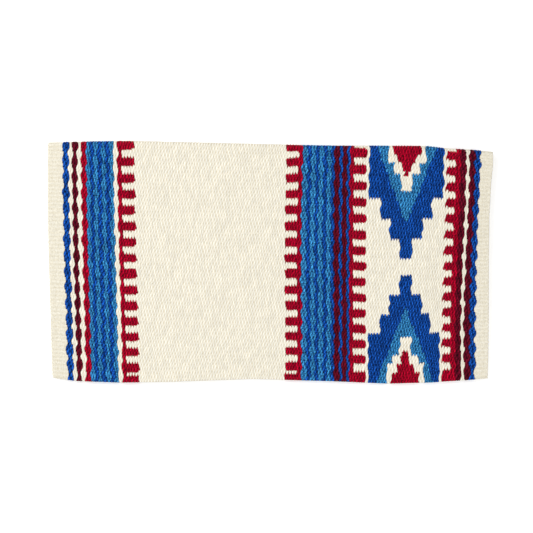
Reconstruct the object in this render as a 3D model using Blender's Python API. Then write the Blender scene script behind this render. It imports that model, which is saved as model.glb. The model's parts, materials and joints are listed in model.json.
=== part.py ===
"""A woollen saddle blanket, folded once across the middle and lying flat, as it is stored.

The cloth is weft-faced: cotton warp cords lie hidden inside it, and the coloured wool yarns that
cover them make the stripes, the combs and the stepped motifs. It is drawn in two coordinates.
x runs along the horse's spine, from the left header to the right one. s runs down a flap, from
the fold to the hem. Both flaps carry the same design, so the open blanket mirrors at its spine.

Each area of one yarn is a slab of its own, woven to its neighbours in the real cloth. The fold
turns round three warp cords, and the near flap swings open about the middle one. All lengths are
metres.
"""

from math import asin, cos, pi, sin

import bmesh
import bpy
from mathutils import Matrix, Vector

# The cloth
WARP_PITCH = 0.00773
FLAP_WARPS = 60
CLOTH_THICKNESS = 0.0075
HEADER_THICKNESS = 0.0050
EDGE_ROUND = 0.0016
EDGE_ROUND_STEPS = 2
CLEARANCE = 0.0003
RIB_SIDES = 16
RIB_TAPER = 0.0110
RIB_END_SHARE = 0.86

# Widths along the fold, from the left header to the right one
HEADER_LEFT_WIDTH = 0.0294
ROYAL_LINE_LEFT = 0.0102
CREAM_LINE_OUTER = 0.0077
MAROON_LINE_LEFT = 0.0088
CREAM_LINE_INNER = 0.0086
RED_LINE_LEFT = 0.0096
BLUE_BAND_LEFT = 0.0536
CREAM_LINE_FRONT = 0.0090
COMB_1_SPINE = 0.0082
FIELD_WIDTH = 0.3465
COMB_2_SPINE = 0.0088
BLUE_BAND_RIGHT = 0.0628
STRIPED_BAND = 0.0300
COMB_3_SPINE = 0.0082
PANEL_WIDTH = 0.2000
COMB_4_SPINE = 0.0082
MAROON_LINE_RIGHT = 0.0098
CREAM_LINE_RIGHT = 0.0073
EDGE_LINES_RIGHT = 0.0192
HEADER_RIGHT_WIDTH = 0.0265

# The combs: how far their teeth reach, and their rhythm in warps
COMB_1_TEETH = 0.0241
COMB_2_TEETH = 0.0243
COMB_3_TEETH = 0.0226
COMB_4_TEETH = 0.0183
RHYTHM_WARPS = 4
TOOTH_WARPS = 2
EDGE_SWELL = 0.0018

# Where the first tooth of combs 1 and 2 starts, in warps from the cord of the fold beside each flap
NEAR_FIRST_TOOTH = -0.5
FAR_FIRST_TOOTH = 0.5

# The stepped motifs: half widths as shares of the room between the teeth beside them, and where
# each step ends, in warps from the spine or the hem
MOTIF_ROOM = PANEL_WIDTH - COMB_3_TEETH - COMB_4_TEETH
ROYAL_STEP_SHARES = ((0.474, 12.5), (0.317, 17.5), (0.210, 22.5), (0.078, 27.5))
LIGHT_HALF_SHARE = 0.353
LIGHT_WARPS = 18.5
CREAM_STEP_SHARES = ((0.233, 4.5), (0.154, 7.0), (0.067, 11.5))
RED_STEP_SHARES = ((0.178, 2.5), (0.116, 4.5))
RED_TIP_SHARE = 0.057
RED_TIP_WARPS = 7.4

# How the cloth draws in towards its hem and its ends, as shares along the fold
LEFT_DRAW_IN = 0.0157
LEFT_DRAW_CURVE = 1.6
LEFT_DRAW_SHARES = ((0.0, 1.0), (0.17, 1.0), (0.54, 0.12), (1.0, 0.0))
RIGHT_DRAW_IN = 0.0079
RIGHT_DRAW_CURVE = 0.3
RIGHT_DRAW_GRIP = 12
HEM_SHARES = (
    (0.0, 0.985), (0.06, 0.992), (0.15, 0.998), (0.27, 0.995), (0.46, 0.984),
    (0.60, 0.988), (0.77, 0.993), (0.87, 0.986), (0.94, 0.975), (1.0, 0.967),
)

# Yarn colours in sRGB
YARNS = {
    "cream_wool": (0.957, 0.933, 0.863),
    "header_wool": (0.930, 0.890, 0.810),
    "royal_wool": (0.100, 0.300, 0.600),
    "light_blue_wool": (0.240, 0.570, 0.790),
    "red_wool": (0.640, 0.030, 0.160),
    "maroon_wool": (0.400, 0.080, 0.160),
}
WOOL_ROUGHNESS = 0.92

# The stripes in order: name, width, yarn, and which way the right edge swells beside a tooth
STRIPES = (
    ("header_left", HEADER_LEFT_WIDTH, "header_wool", -1),
    ("royal_line_left", ROYAL_LINE_LEFT, "royal_wool", 1),
    ("cream_line_outer", CREAM_LINE_OUTER, "cream_wool", -1),
    ("maroon_line_left", MAROON_LINE_LEFT, "maroon_wool", 1),
    ("cream_line_inner", CREAM_LINE_INNER, "cream_wool", -1),
    ("red_line_left", RED_LINE_LEFT, "red_wool", 1),
    ("blue_band_left", BLUE_BAND_LEFT, "royal_wool", 1),
    ("cream_line_front", CREAM_LINE_FRONT, "cream_wool", -1),
    ("comb_1", COMB_1_SPINE, "red_wool", 0),
    ("field", FIELD_WIDTH, "cream_wool", 0),
    ("comb_2", COMB_2_SPINE, "red_wool", 1),
    ("blue_band_right", BLUE_BAND_RIGHT, "royal_wool", 1),
    ("striped_band", STRIPED_BAND, "maroon_wool", 1),
    ("comb_3", COMB_3_SPINE, "red_wool", 0),
    ("panel", PANEL_WIDTH, "cream_wool", 0),
    ("comb_4", COMB_4_SPINE, "red_wool", 0),
    ("maroon_line_right", MAROON_LINE_RIGHT, "maroon_wool", -1),
    ("cream_line_right", CREAM_LINE_RIGHT, "cream_wool", 1),
    ("edge_lines_right", EDGE_LINES_RIGHT, "maroon_wool", 1),
    ("header_right", HEADER_RIGHT_WIDTH, "header_wool", 0),
)
# Teeth: which stripe they stand on, their reach along +x, and whether they fall half a rhythm late
TEETH = {
    "comb_1": (COMB_1_TEETH, False),
    "comb_2": (-COMB_2_TEETH, False),
    "comb_3": (COMB_3_TEETH, True),
    "comb_4": (-COMB_4_TEETH, True),
}

FOLD_LENGTH = sum(width for _, width, _, _ in STRIPES)
FLAP_LENGTH = FLAP_WARPS * WARP_PITCH
RIB_RADIUS = (WARP_PITCH - CLEARANCE) / 2
FLAP_START = RIB_RADIUS + CLEARANCE / 2
RAISED = CLOTH_THICKNESS / 2
SLOPE_ROUNDS = 8


def fold_angles():
    """The near flap's slope, and how far the cloth turns at each of the three cords of the fold.

    The three turns add up to half a turn and the slope. The slope lets the near flap's hem down
    until it lies one clearance above the far flap.
    """
    slope = 0.0
    for _ in range(SLOPE_ROUNDS):
        turn = (pi + slope) / 3
        lift = WARP_PITCH * (sin(turn) + sin(2 * turn))
        slope = asin((lift - CLOTH_THICKNESS - CLEARANCE) / FLAP_LENGTH)
    return slope, turn


SLOPE, TURN = fold_angles()
FOLD_REACH = WARP_PITCH * cos(TURN) + RIB_RADIUS
LONGEST_HEM = FLAP_LENGTH * max(share for _, share in HEM_SHARES) - CLEARANCE / 2
FOLD_Y = (LONGEST_HEM - FOLD_REACH) / 2


def cord_places():
    """The three cords of the fold, as (y, z), up round it from the far flap to the near one."""
    places = [(FOLD_Y, RAISED)]
    for step in (1, 2):
        y, z = places[-1]
        places.append((y + WARP_PITCH * cos(step * TURN), z + WARP_PITCH * sin(step * TURN)))
    return places


def along(stations, share):
    """Reads a value at a share of the fold's length, straight between its stations."""
    for (low, first), (high, last) in zip(stations, stations[1:]):
        if share <= high:
            return first + (last - first) * (share - low) / (high - low)
    return stations[-1][1]


def drawn_in(x, s):
    """Moves a point of the loom's straight grid to where the finished cloth has it."""
    down = max(s / FLAP_LENGTH, 0.0)
    across = x / FOLD_LENGTH
    left = LEFT_DRAW_IN * down**LEFT_DRAW_CURVE * along(LEFT_DRAW_SHARES, across)
    right = RIGHT_DRAW_IN * down**RIGHT_DRAW_CURVE * across**RIGHT_DRAW_GRIP
    return x + left - right, s * along(HEM_SHARES, across)


def linear(value):
    """An sRGB value as the linear one that a shader takes."""
    return value / 12.92 if value <= 0.04045 else ((value + 0.055) / 1.055) ** 2.4


def yarn_material(name, yarn):
    material = bpy.data.materials.new(name)
    material.use_nodes = True
    shader = material.node_tree.nodes["Principled BSDF"]
    shader.inputs["Base Color"].default_value = (*map(linear, YARNS[yarn]), 1.0)
    shader.inputs["Roughness"].default_value = WOOL_ROUGHNESS
    shader.inputs["Metallic"].default_value = 0.0
    return material


def add_object(name, bm, yarn, parent):
    bmesh.ops.recalc_face_normals(bm, faces=bm.faces)
    mesh = bpy.data.meshes.new(name)
    bm.to_mesh(mesh)
    bm.free()
    mesh.materials.append(yarn_material(name, yarn))
    piece = bpy.data.objects.new(name, mesh)
    bpy.context.collection.objects.link(piece)
    piece.parent = parent
    return piece


def inset(outline):
    """Draws a closed outline in by half the clearance, with mitred corners.

    Two neighbours then part by all of the clearance.
    """
    points = [Vector(p) for p in outline]
    area = sum(a.x * b.y - b.x * a.y for a, b in zip(points, points[1:] + points[:1]))
    if area < 0:
        points.reverse()
    drawn = []
    for before, here, after in zip(points[-1:] + points[:-1], points, points[1:] + points[:1]):
        first = (here - before).normalized()
        second = (after - here).normalized()
        inward = Vector((-first.y - second.y, first.x + second.x))
        reach = CLEARANCE / (1 + first.dot(second))
        drawn.append(here + inward * reach / 2)
    return drawn


def on_rim(x, s):
    """Whether a point lies on the hem or on an outer end, where the cloth's edge is rounded."""
    return s > FLAP_LENGTH - CLEARANCE or x < CLEARANCE or x > FOLD_LENGTH - CLEARANCE


def slab(name, outline, thickness, yarn, parent):
    """Raises an outline in (x, s) to a slab about the cloth's middle plane, with its rim edges rounded."""
    loom = inset(outline)
    bm = bmesh.new()
    layers = []
    for height in (-thickness / 2, thickness / 2):
        layer = []
        for x, s in loom:
            px, ps = drawn_in(x, s)
            layer.append(bm.verts.new((px - FOLD_LENGTH / 2, -ps, height)))
        layers.append(layer)
        bm.faces.new(layer)
    for i, j in zip(range(len(loom)), [*range(1, len(loom)), 0]):
        bm.faces.new((layers[0][i], layers[0][j], layers[1][j], layers[1][i]))
    rims = {v for layer in layers for v, place in zip(layer, loom) if on_rim(*place)}
    flat = [
        e
        for e in bm.edges
        if e.verts[0] in rims and e.verts[1] in rims and e.verts[0].co.z == e.verts[1].co.z
    ]
    bmesh.ops.recalc_face_normals(bm, faces=bm.faces)
    if flat:
        bmesh.ops.bevel(
            bm,
            geom=flat,
            offset=EDGE_ROUND,
            segments=EDGE_ROUND_STEPS,
            profile=0.5,
            affect="EDGES",
            clamp_overlap=True,
        )
    return add_object(name, bm, yarn, parent)


def rhythm(first_tooth, offset):
    """Places in warps, one rhythm apart, at an offset from the first tooth, between the fold and the hem."""
    places = range(-RHYTHM_WARPS, FLAP_WARPS + RHYTHM_WARPS, RHYTHM_WARPS)
    inside = (FLAP_START / WARP_PITCH + TOOTH_WARPS / 4, FLAP_WARPS - TOOTH_WARPS / 4)
    return [p + first_tooth + offset for p in places if inside[0] < p + first_tooth + offset < inside[1]]


def wavy_edge(x, swell, first_tooth):
    """An edge from fold to hem that swells to one side beside each tooth and back between teeth."""
    if not swell:
        return [(x, FLAP_START), (x, FLAP_LENGTH)]
    crests = {w: 1 for w in rhythm(first_tooth, TOOTH_WARPS / 2)}
    crests |= {w: -1 for w in rhythm(first_tooth, TOOTH_WARPS / 2 + RHYTHM_WARPS / 2)}
    turns = [(x + swell * side * EDGE_SWELL / 2, w * WARP_PITCH) for w, side in sorted(crests.items())]
    return [(turns[0][0], FLAP_START), *turns, (turns[-1][0], FLAP_LENGTH)]


def toothed_edge(x, reach, first_tooth):
    """An edge from fold to hem that steps out to the tip of each tooth and back."""
    edge = []
    for k in range(-1, FLAP_WARPS // RHYTHM_WARPS + 1):
        start = (k * RHYTHM_WARPS + first_tooth) * WARP_PITCH
        end = start + TOOTH_WARPS * WARP_PITCH
        start, end = max(start, FLAP_START), min(end, FLAP_LENGTH)
        if FLAP_LENGTH - end < WARP_PITCH:
            end = FLAP_LENGTH
        if end - start > CLEARANCE * 2:
            edge += [(x, start), (x + reach, start), (x + reach, end), (x, end)]
    if edge[0][1] > FLAP_START:
        edge = [(x, FLAP_START), *edge]
    else:
        edge = edge[1:]
    if edge[-1][1] < FLAP_LENGTH:
        edge = [*edge, (x, FLAP_LENGTH)]
    elif edge[-2][1] == edge[-1][1]:
        edge = edge[:-1]
    return edge


def stepped_half(steps):
    """Half of a stepped outline, from its base out and along to its narrow end, as (half width, depth)."""
    halves = [share * MOTIF_ROOM for share, _ in steps]
    points = [(halves[0], 0.0)]
    for i, (_, warps) in enumerate(steps):
        depth = warps * WARP_PITCH
        points += [(half, depth) for half in halves[i : i + 2]]
    return points


def motif_lines():
    """The four nested lines of a motif, each from its right base round its tip to its left base."""
    royal = stepped_half(ROYAL_STEP_SHARES)
    light = [(LIGHT_HALF_SHARE * MOTIF_ROOM, 0.0), (0.0, LIGHT_WARPS * WARP_PITCH)]
    cream = stepped_half(CREAM_STEP_SHARES)
    red = stepped_half(RED_STEP_SHARES)
    red += [(RED_TIP_SHARE * MOTIF_ROOM, red[-1][1]), (0.0, RED_TIP_WARPS * WARP_PITCH)]
    lines = {}
    for name, half in (("royal", royal), ("light_blue", light), ("cream", cream), ("red", red)):
        other = [(-x, d) for x, d in reversed(half) if x > 0]
        lines[name] = half + other
    return lines


def placed(line, centre, from_hem):
    """A motif's line set on the flap, from its base at the fold or at the hem."""
    if from_hem:
        return [(centre + x, FLAP_LENGTH - d) for x, d in line]
    return [(centre + x, max(d, FLAP_START)) for x, d in line]


def hem_run(start, end):
    """The points between two places along the hem where its line turns."""
    turns = [(share * FOLD_LENGTH, FLAP_LENGTH) for share, _ in HEM_SHARES]
    inside = [t for t in turns if min(start, end) + CLEARANCE < t[0] < max(start, end) - CLEARANCE]
    return inside if start < end else inside[::-1]


def build_motifs(flap, centre, parent):
    """The nested motifs at the fold and at the hem. Each yarn's area has the next one cut out of it."""
    lines = motif_lines()
    order = ("royal", "light_blue", "cream", "red")
    for place, from_hem in (("spine", False), ("hem", True)):
        for i, colour in enumerate(order):
            outer = placed(lines[colour], centre, from_hem)
            outline = outer
            if i + 1 < len(order):
                inner = placed(lines[order[i + 1]], centre, from_hem)
                outline = outer + inner[::-1]
            slab(
                f"{flap}_{place}_motif_{colour}",
                outline,
                CLOTH_THICKNESS,
                f"{colour}_wool",
                parent,
            )


def teeth_between(name, following):
    """The reach and lateness of the teeth that stand on the edge between two stripes, if any do."""
    reach, late = TEETH.get(name, (0.0, False))
    if reach > 0:
        return reach, late
    reach, late = TEETH.get(following, (0.0, False))
    return (reach, late) if reach < 0 else None


def stripe_edges(first_tooth):
    """Each stripe's right edge from fold to hem, in order, after the left end of the cloth."""
    edges = [[(0.0, FLAP_START), (0.0, FLAP_LENGTH)]]
    x = 0.0
    names = [name for name, _, _, _ in STRIPES]
    for (name, width, _, swell), following in zip(STRIPES, [*names[1:], ""]):
        x += width
        teeth = teeth_between(name, following)
        if teeth:
            reach, late = teeth
            edges.append(toothed_edge(x, reach, first_tooth + late * RHYTHM_WARPS / 2))
        else:
            edges.append(wavy_edge(x, swell, first_tooth))
    return edges


def build_flap(flap, first_tooth, parent):
    edges = stripe_edges(first_tooth)
    lines = motif_lines()
    start = 0.0
    for (name, width, yarn, _), left, right in zip(STRIPES, edges, edges[1:]):
        centre = start + width / 2 + (COMB_3_TEETH - COMB_4_TEETH) / 2
        hem = hem_run(left[-1][0], right[-1][0])
        top = []
        if name == "panel":
            hem_motif = placed(lines["royal"], centre, True)[::-1]
            hem = hem_run(left[-1][0], hem_motif[0][0]) + hem_motif
            hem += hem_run(hem_motif[-1][0], right[-1][0])
            top = placed(lines["royal"], centre, False)
            build_motifs(flap, centre, parent)
        thickness = HEADER_THICKNESS if name.startswith("header") else CLOTH_THICKNESS
        slab(f"{flap}_{name}", left + hem + right[::-1] + top, thickness, yarn, parent)
        start += width


def build_rib(name, parent):
    """A warp cord with its wrapping at the fold: a long round rib along x that thins into the headers."""
    ends = FOLD_LENGTH / 2
    profile = [
        (-ends, RIB_END_SHARE), (RIB_TAPER - ends, 1.0), (ends - RIB_TAPER, 1.0), (ends, RIB_END_SHARE),
    ]
    bm = bmesh.new()
    rings = []
    for x, share in profile:
        turned = bmesh.ops.create_circle(
            bm,
            segments=RIB_SIDES,
            radius=RIB_RADIUS * share,
            matrix=Matrix.Translation((x, 0.0, 0.0)) @ Matrix.Rotation(pi / 2, 4, "Y"),
        )
        rings.append(turned["verts"])
    for ring, following in zip(rings, rings[1:]):
        for i, j in zip(range(RIB_SIDES), [*range(1, RIB_SIDES), 0]):
            bm.faces.new((ring[i], ring[j], following[j], following[i]))
    bm.faces.new(rings[0])
    bm.faces.new(rings[-1])
    rib = add_object(name, bm, "header_wool", parent)
    rib.data.shade_smooth()
    rib.data.set_sharp_from_angle(angle=pi / 4)
    return rib


def add_frame(name, y, z):
    """An empty on a cord of the fold, which carries pieces."""
    frame = bpy.data.objects.new(name, None)
    bpy.context.collection.objects.link(frame)
    frame.location = (0.0, y, z)
    return frame


def build():
    for old in list(bpy.data.objects):
        bpy.data.objects.remove(old)
    lower, middle, upper = cord_places()
    far_start = add_frame("far_flap_start", *lower)
    build_flap("far", FAR_FIRST_TOOTH, far_start)
    build_rib("fold_rib_lower", far_start)
    build_rib("fold_rib_middle", add_frame("middle_cord", *middle))
    hinge = add_frame("near_flap_hinge", *middle)
    build_flap("near", NEAR_FIRST_TOOTH, hinge)
    build_rib("fold_rib_upper", hinge)
    for piece in hinge.children:
        piece.location = (0.0, upper[0] - middle[0], upper[1] - middle[1])
        piece.rotation_euler = (SLOPE, 0.0, 0.0)


build()
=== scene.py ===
"""A folded woollen saddle blanket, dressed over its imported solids.

The cloth is a weft-faced two-and-two twill. Its warps are counted along one chain, q, which runs
from the far flap's hem at -60, up that flap, round the fold's three cords at 0, 1 and 2, and down
the near flap to its hem at 62. Across the chain lie the picks of wool, counted from the left end of
the stripes. Every pick shows as floats two warps long. Beside an upright edge each float takes one
yarn's colour, so the stripes get the stepped edges of the weave by themselves.
"""

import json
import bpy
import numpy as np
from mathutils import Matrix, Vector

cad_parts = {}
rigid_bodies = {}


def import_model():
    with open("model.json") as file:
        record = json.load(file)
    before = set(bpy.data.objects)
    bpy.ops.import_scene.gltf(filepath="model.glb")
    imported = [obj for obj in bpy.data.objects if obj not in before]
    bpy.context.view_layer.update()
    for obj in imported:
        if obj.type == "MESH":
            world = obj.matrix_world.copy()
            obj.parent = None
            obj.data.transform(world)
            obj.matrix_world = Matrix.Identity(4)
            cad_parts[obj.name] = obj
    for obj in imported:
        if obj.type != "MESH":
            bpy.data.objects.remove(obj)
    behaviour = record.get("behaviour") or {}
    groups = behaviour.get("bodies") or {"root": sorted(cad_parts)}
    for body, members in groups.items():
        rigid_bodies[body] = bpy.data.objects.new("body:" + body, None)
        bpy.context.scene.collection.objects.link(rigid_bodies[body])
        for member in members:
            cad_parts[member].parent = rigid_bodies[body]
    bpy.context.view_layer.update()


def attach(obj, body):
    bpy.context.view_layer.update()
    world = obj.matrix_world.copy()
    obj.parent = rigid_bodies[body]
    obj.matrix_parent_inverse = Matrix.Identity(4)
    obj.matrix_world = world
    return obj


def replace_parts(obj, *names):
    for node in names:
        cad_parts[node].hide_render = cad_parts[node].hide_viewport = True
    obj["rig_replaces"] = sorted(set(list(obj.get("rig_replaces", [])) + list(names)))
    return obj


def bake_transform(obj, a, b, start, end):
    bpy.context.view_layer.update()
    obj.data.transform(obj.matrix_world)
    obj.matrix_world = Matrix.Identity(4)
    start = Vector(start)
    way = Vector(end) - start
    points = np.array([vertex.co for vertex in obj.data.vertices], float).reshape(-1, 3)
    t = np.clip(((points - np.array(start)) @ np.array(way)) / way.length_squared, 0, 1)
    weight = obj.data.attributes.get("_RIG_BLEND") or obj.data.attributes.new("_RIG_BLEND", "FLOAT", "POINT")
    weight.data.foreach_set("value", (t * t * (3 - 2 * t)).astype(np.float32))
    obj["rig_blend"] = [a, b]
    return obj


bl_info = {
    "name": "Woven saddle blanket",
    "version": (1, 0, 0),
    "blender": (4, 5, 0),
    "location": "View3D > Sidebar > Blanket",
    "description": "Weaves a folded saddle blanket over its packed solids",
    "category": "Add Mesh",
}

import bpy
import numpy as np
from bpy.props import FloatProperty, FloatVectorProperty, IntProperty, PointerProperty

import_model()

# The cloth, as in the part's source, and about how wide one pick of wool is
WARP_PITCH = 0.00773
FLAP_WARPS = 60
CLOTH_THICKNESS = 0.0075
HEADER_THICKNESS = 0.0050
FOLD_LENGTH = 0.8724
PICK_WIDTH = 0.00141
MILLIMETRE = 0.001

# The widths of the headers where the weave changes, which lies inside the solids' own seams
HEADER_LEFT = 0.0289
HEADER_RIGHT = 0.0246

# Places on the chain: the fold's middle cord, the ends of the fold's cloth, and both hems. A flap
# starts half a warp past the cord beside it.
MIDDLE_CORD = 1.0
FLAP_START_WARPS = 0.5
FOLD_CHAIN = (MIDDLE_CORD - 1.0 - FLAP_START_WARPS, MIDDLE_CORD + 1.0 + FLAP_START_WARPS)
CHAIN = (MIDDLE_CORD - 1.0 - FLAP_WARPS, MIDDLE_CORD + 1.0 + FLAP_WARPS)
FAR_CHAIN, NEAR_CHAIN = (CHAIN[0], FOLD_CHAIN[0]), (FOLD_CHAIN[1], CHAIN[1])
STRETCHES = {"far": FAR_CHAIN, "fold": FOLD_CHAIN, "near": NEAR_CHAIN}

# The fold: its turn and slope in radians, and the cords' places as (y, z)
TURN = np.radians(60.2294935)
SLOPE = np.radians(0.6884805)
LOWER_CORD = (0.227585, 0.00375)
UPPER_CORD = (0.227504, 0.017123)
FOLD_RADIUS = WARP_PITCH / 2 / np.tan(TURN / 2)
FOLD_CENTRE = (LOWER_CORD[0] - WARP_PITCH / 2, LOWER_CORD[1] + FOLD_RADIUS)

# Where the finished cloth draws in: the share of a flap's length left at each share of the fold's,
# and how far the left end moves in at the hem, which fades towards the fold and the right
HEM_AT = (0.0, 0.06, 0.15, 0.27, 0.46, 0.60, 0.77, 0.87, 0.94, 1.0)
HEM_SHARES = (0.985, 0.992, 0.998, 0.995, 0.984, 0.988, 0.993, 0.986, 0.975, 0.967)
LEFT_DRAW_IN = 0.0157
LEFT_DRAW_CURVE = 1.6
LEFT_DRAW_AT = (0.0, 0.17, 0.54, 1.0)
LEFT_DRAW_SHARES = (1.0, 1.0, 0.12, 0.0)
# How far the blanket lies to the right of there, and back towards its hem, in millimetres. A row
# stands for each share down the flap, and a value in it for each share along the fold.
LIE_ACROSS = (0.0, 0.05, 0.18, 0.45, 0.57, 0.65, 0.75, 0.85, 0.90, 0.95, 1.0)
LIE_DOWN = (0.0, 0.06, 0.15, 0.30, 0.50, 0.75, 0.93, 1.0)
LIE_ASIDE = (
    (-1, 0, -0.5, 0, -1, 0, 1.5, 1.5, 0, 1, 1.5),
    (-1, 0, 0, 0, -1, -0.5, 1, 1.5, -0.5, 0.5, 1.5),
    (-1.5, 0, 1, 0, -1.5, -1, 0.5, 1, -0.5, 0.5, -2),
    (-2.5, 0.5, 1, 0, -3.5, -1.5, 1, 0.5, -2.5, -1.5, -4.8),
    (-2.5, 0, 1.5, 0, -3.5, -1, 0.5, 0, -5.5, -5.2, -4.8),
    (-2.8, 0, 1, 0, -1.5, 0.5, 0.5, 0, -7, -8, -3.8),
    (-4, -1.8, -0.4, 0, -1.5, 0.5, 1.2, 0.4, -7, -6.4, -4),
    (-4, -2.5, -1, 0, -1.5, 0.5, 1.5, 0.5, -7, -6, -5),
)
LIE_BACK = (
    (2, 1, -2, 1.5, 3.2, 4, 3.2, 3, 7.5, 9.5, 12.5),
    (1, 1, -1, 0, 1, 1.5, 2, 2, 3, 3.5, 6),
    (1.5, 1.5, 1.5, 1, 1, 1.5, 2.5, 2, 3, 2.5, 3),
    (2, 1.5, 2.5, 1, 1, 0.3, 3, 2, 1.5, 1, 0.5),
    (3.5, 3, 4, 4, 3.5, 0.8, 3, 2.5, 3, 1, 1),
    (4.8, 5, 5.2, 6, 5, 1.5, 2.8, 2.2, 2.2, 1.2, 1),
    (2.4, 2.5, 2.5, 2.4, 1.8, 0.4, 1.4, 1.2, 1.5, 1.8, 1),
    (3.5, 6, 5, 2.5, 2.7, 3, 4.8, 5.1, 5.5, 6, 5.3),
)
# How many warps the cloth has slid over the fold to the far side, and over how many that fades
SLIP_ACROSS = (0.50, 0.60, 0.66, 0.85, 1.0)
SLIP_WARPS = (0.0, 0.9, 1.1, 0.85, 0.8)
SLIP_REACH_WARPS = 28

# The stripes between the headers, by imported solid: the yarn, the width and the picks of each line
STRIPES = (
    ("royal_line_left", (("royal", 0.0118, 6),)),
    ("cream_line_outer", (("cream", 0.0060, 6),)),
    ("maroon_line_left", (("maroon", 0.0101, 6),)),
    ("cream_line_inner", (("cream", 0.0075, 6),)),
    ("red_line_left", (("red", 0.0104, 6),)),
    ("blue_band_left", (
        ("light_blue", 0.0073, 6), ("royal", 0.0068, 4), ("light_blue", 0.0077, 6),
        ("royal", 0.0082, 4), ("light_blue", 0.0073, 6), ("royal", 0.0082, 4),
        ("light_blue", 0.0077, 6),
    )),
    ("cream_line_front", (("cream", 0.0076, 6),)),
    ("comb_1", (("red", 0.0096, 6),)),
    ("field", (("cream", 0.3465, 246),)),
    ("comb_2", (("red", 0.0088, 6),)),
    ("blue_band_right", (
        ("light_blue", 0.0099, 6), ("royal", 0.0074, 4), ("light_blue", 0.0088, 6),
        ("royal", 0.0063, 4), ("light_blue", 0.0088, 6), ("royal", 0.0074, 4),
        ("light_blue", 0.0076, 6), ("royal", 0.0066, 4),
    )),
    ("striped_band", (
        ("maroon", 0.0098, 6), ("royal", 0.0059, 4), ("maroon", 0.0084, 6), ("royal", 0.0059, 4),
    )),
    ("comb_3", (("red", 0.0082, 6),)),
    ("panel", (("cream", 0.2000, 140),)),
    ("comb_4", (("red", 0.0082, 6),)),
    ("maroon_line_right", (("maroon", 0.0113, 6),)),
    ("cream_line_right", (("cream", 0.0053, 6),)),
    ("edge_lines_right", (("maroon", 0.0113, 6), ("royal", 0.0103, 6))),
)
LINES = tuple((name, *line) for name, lines in STRIPES for line in lines)
# Teeth: reach from the spine in picks, to the right or the left, the first one's start in q, and
# how far from the hem the last one starts, which runs on to it
TEETH = {
    "comb_1": (17, 1.15, 1.85),
    "comb_2": (-17, 1.15, 1.85),
    "comb_3": (16, -0.85, 2.85),
    "comb_4": (-13, -0.85, 2.85),
}
# From the start of one tooth to the next, and how long a tooth is
RHYTHM_WARPS = 4
TOOTH_WARPS = 2.35
# How much a tooth thins on either side in the last column at its tip
TIP_WARPS = 0.35

# The motifs: each step's half width as a share of the room, and how many warps deep it goes. The
# room and how far right of the panel's middle they stand are in metres.
MOTIF_ROOM = 0.1591
MOTIF_SHIFT = 0.00215
ROYAL_STEPS = ((0.462, 13.15), (0.317, 18.15), (0.205, 23.15), (0.080, 28.15))
LIGHT_HALF = 0.375
LIGHT_WARPS = 19.5
HEM_MOTIF_SHORTER = 0.5
CREAM_STEPS = ((0.233, 4.5), (0.154, 7.0), (0.067, 11.5))
RED_STEPS = ((0.178, 2.5), (0.116, 4.5), (0.057, 6.8), (0.034, 7.8))

# The lattice of floats: a column of them is two picks wide, with three points across, and leans by
# a pick to the left with every warp. Floats are two warps long. Those of even columns start at a
# share of a warp, and of odd ones a warp later. Column nought stands at FIRST_PICK at LEAN_FROM.
COLUMN_PICKS = 2
COLUMN_POINTS = 3
FLOAT_WARPS = 2
FIRST_PICK = 3
FLOAT_START = 0.8
LEAN_FROM = FLOAT_START + 1.5
# Where the rows of points lie in a warp, and how far before its warp an early cell is read
ROW_SHARES = (0.15, 0.5, 0.8)
EARLIER_ROW = 0.025
# The hem's rounded edge: rows by warps from the hem, the share of the thickness that is left at
# each, and the least gap between those rows and the next
HEM_ROWS = (0.5, 0.26, 0.14, 0.05, 0.0)
HEM_FULLNESS = (1.0, 0.97, 0.86, 0.62, 0.30)
ROW_GAP = 0.01
# How far the gaps between columns move back where the columns bulge, as a share of the bulge
GAP_BOW = 0.6
# Rows in the table of random values: each float and each warp reads one
CHANCE_ROWS = 128
# Keeps a point at a float's start on that float in spite of rounding
ROUNDING = 1e-6

# What a cell may show: a line, a yarn of the motif at the fold or at the hem, or nothing
YARNS = ("cream", "royal", "light_blue", "red", "maroon")
MOTIF_YARNS = ("royal", "light_blue", "cream", "red")
MOTIF_ENDS = ("spine", "hem")
NO_AREA = -1


def length(name, description, default):
    return FloatProperty(name=name, description=description, default=default, unit="LENGTH")


def amount(name, description, default):
    return FloatProperty(name=name, description=description, default=default)


class BlanketSizes(bpy.types.PropertyGroup):
    relief: length("Relief", "How far the hollows between floats lie below the crowns", 0.0011)
    unevenness: length("Unevenness", "How much lower than others single floats may lie", 0.00030)
    bulge: amount(
        "Float bulge", "How much wider a float is in the middle than at its ends, in picks a side", 0.5
    )
    jitter: amount("Jitter", "How far a float's crown may lie to one side, in picks", 0.40)
    crowding: amount("Crowding", "How far the gap between two columns wanders, in picks", 0.30)
    bow: amount(
        "Bow", "How far a column's end bulges where one colour stops on another, in warps", 0.17
    )
    drift: length("Drift", "How far the yarns wander over a few centimetres", 0.0005)
    header_relief: length("Header relief", "How far the ribs of the headers stand up", 0.00032)
    header_picks: IntProperty(
        name="Header picks", description="How many fine picks cross a header's width", default=30
    )
    scallop: length(
        "Hem scallops", "How far each column of floats bulges past the hollows at the hem", 0.0008
    )
    seed: IntProperty(
        name="Seed", description="Start of the random unevenness of the floats", default=7
    )


def linear(*levels):
    """sRGB levels from 0 to 255 as linear values, by the sRGB curve."""
    shares = np.array(levels) / 255
    return tuple(
        np.where(shares <= 0.04045, shares / 12.92, ((shares + 0.055) / 1.055) ** 2.4).tolist()
    )


def yarn_colour(name, description, *levels):
    return FloatVectorProperty(
        name=name, description=description, default=linear(*levels), subtype="COLOR", min=0, max=1
    )


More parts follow.
